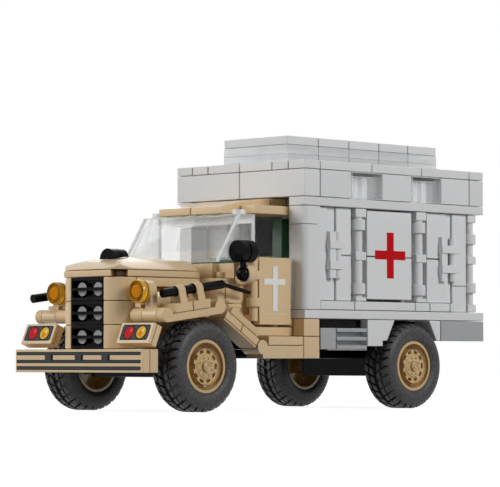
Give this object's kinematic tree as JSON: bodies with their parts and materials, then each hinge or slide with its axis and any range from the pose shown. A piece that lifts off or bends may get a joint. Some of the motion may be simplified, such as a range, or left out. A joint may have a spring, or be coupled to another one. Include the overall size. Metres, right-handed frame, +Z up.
{
  "type": "toy field ambulance truck",
  "caption": "Brick-built toy model of a military field ambulance truck with a bonnet cab, hinged cab, side and rear doors, a windowed box body and free-turning wheels.",
  "frame": {"origin": "on the ground under the middle of the truck", "axes": "+X forward, +Y to the truck's left, +Z up"},
  "size_m": [0.172, 0.0672, 0.0964],
  "materials": {
    "tan": "moulded, tan",
    "white": "moulded, white",
    "grey": "moulded, mid grey",
    "black": "moulded, black",
    "green": "moulded, dark green",
    "tyre_rubber": "moulded rubber",
    "clear": "clear moulded plastic",
    "amber": "amber clear plastic"
  },
  "bodies": {
    "truck": {"band_windows": "clear", "body_bearers": "black", "box_bulkhead": "white", "box_columns": "white", "box_floor": "white", "cab_floor": "tan", "cab_roof": "tan", "cab_seats": "green", "cab_sills": "tan", "cab_walls": "tan", "chassis_frame": "black", "cowl": "tan", "door_hinge_bars": "tan", "fenders": "tan", "front_axle": "black", "front_bumper": "tan", "headlight_holders": "tan", "headlight_lenses": "amber", "hinge_posts": "white", "hood_band": "tan", "hood_crown": "tan", "hood_sides": "tan", "hood_vent": "black", "lamp_sockets": "tan", "latch_bars": "white", "radiator_corners": "tan", "radiator_grille": "black", "rear_axle": "black", "roof_deck": "white", "roof_tier": "clear", "roof_tiles": "white", "running_boards": "tan", "signal_boxes": "tan", "skirt_arches": "white", "skirt_blocks": "grey", "spot_lamps": "black", "tool_handles": "black", "upper_rails": "white", "vent_grilles": "grey", "wall_panels": "white", "window_band": "white", "windscreen": "clear"},
    "front_left_wheel": {"front_left_tyre": "tyre_rubber", "front_left_rim": "tan"},
    "front_right_wheel": {"front_right_tyre": "tyre_rubber", "front_right_rim": "tan"},
    "rear_left_wheel": {"rear_left_tyre": "tyre_rubber", "rear_left_rim": "tan"},
    "rear_right_wheel": {"rear_right_tyre": "tyre_rubber", "rear_right_rim": "tan"},
    "cab_door_left": {"cab_door_left": "tan"},
    "cab_door_right": {"cab_door_right": "tan"},
    "side_door_left": {"side_door_left": "white"},
    "side_door_right": {"side_door_right": "white"},
    "rear_door_left": {"rear_door_left": "white"},
    "rear_door_right": {"rear_door_right": "white"}
  },
  "joints": [
    {"name": "front_left_wheel_spin", "type": "hinge", "parent": "truck", "child": "front_left_wheel", "pos_m": [0.058, 0.0272, 0.0152], "axis": [0, 1, 0], "continuous": true},
    {"name": "front_right_wheel_spin", "type": "hinge", "parent": "truck", "child": "front_right_wheel", "pos_m": [0.058, -0.0272, 0.0152], "axis": [0, 1, 0], "continuous": true},
    {"name": "rear_left_wheel_spin", "type": "hinge", "parent": "truck", "child": "rear_left_wheel", "pos_m": [-0.046, 0.0272, 0.0152], "axis": [0, 1, 0], "continuous": true},
    {"name": "rear_right_wheel_spin", "type": "hinge", "parent": "truck", "child": "rear_right_wheel", "pos_m": [-0.046, -0.0272, 0.0152], "axis": [0, 1, 0], "continuous": true},
    {"name": "cab_door_left_hinge", "type": "hinge", "parent": "truck", "child": "cab_door_left", "pos_m": [0.03, 0.0268, 0.041], "axis": [0, 0, -1], "range_deg": [0, 80]},
    {"name": "cab_door_right_hinge", "type": "hinge", "parent": "truck", "child": "cab_door_right", "pos_m": [0.03, -0.0268, 0.041], "axis": [0, 0, 1], "range_deg": [0, 80]},
    {"name": "side_door_left_hinge", "type": "hinge", "parent": "truck", "child": "side_door_left", "pos_m": [-0.0196, 0.0292, 0.054], "axis": [0, 0, -1], "range_deg": [0, 105]},
    {"name": "side_door_right_hinge", "type": "hinge", "parent": "truck", "child": "side_door_right", "pos_m": [-0.0196, -0.0292, 0.054], "axis": [0, 0, 1], "range_deg": [0, 105]},
    {"name": "rear_door_left_hinge", "type": "hinge", "parent": "truck", "child": "rear_door_left", "pos_m": [-0.081, 0.029, 0.0528], "axis": [0, 0, -1], "range_deg": [0, 110]},
    {"name": "rear_door_right_hinge", "type": "hinge", "parent": "truck", "child": "rear_door_right", "pos_m": [-0.081, -0.029, 0.0528], "axis": [0, 0, 1], "range_deg": [0, 110]}
  ]
}
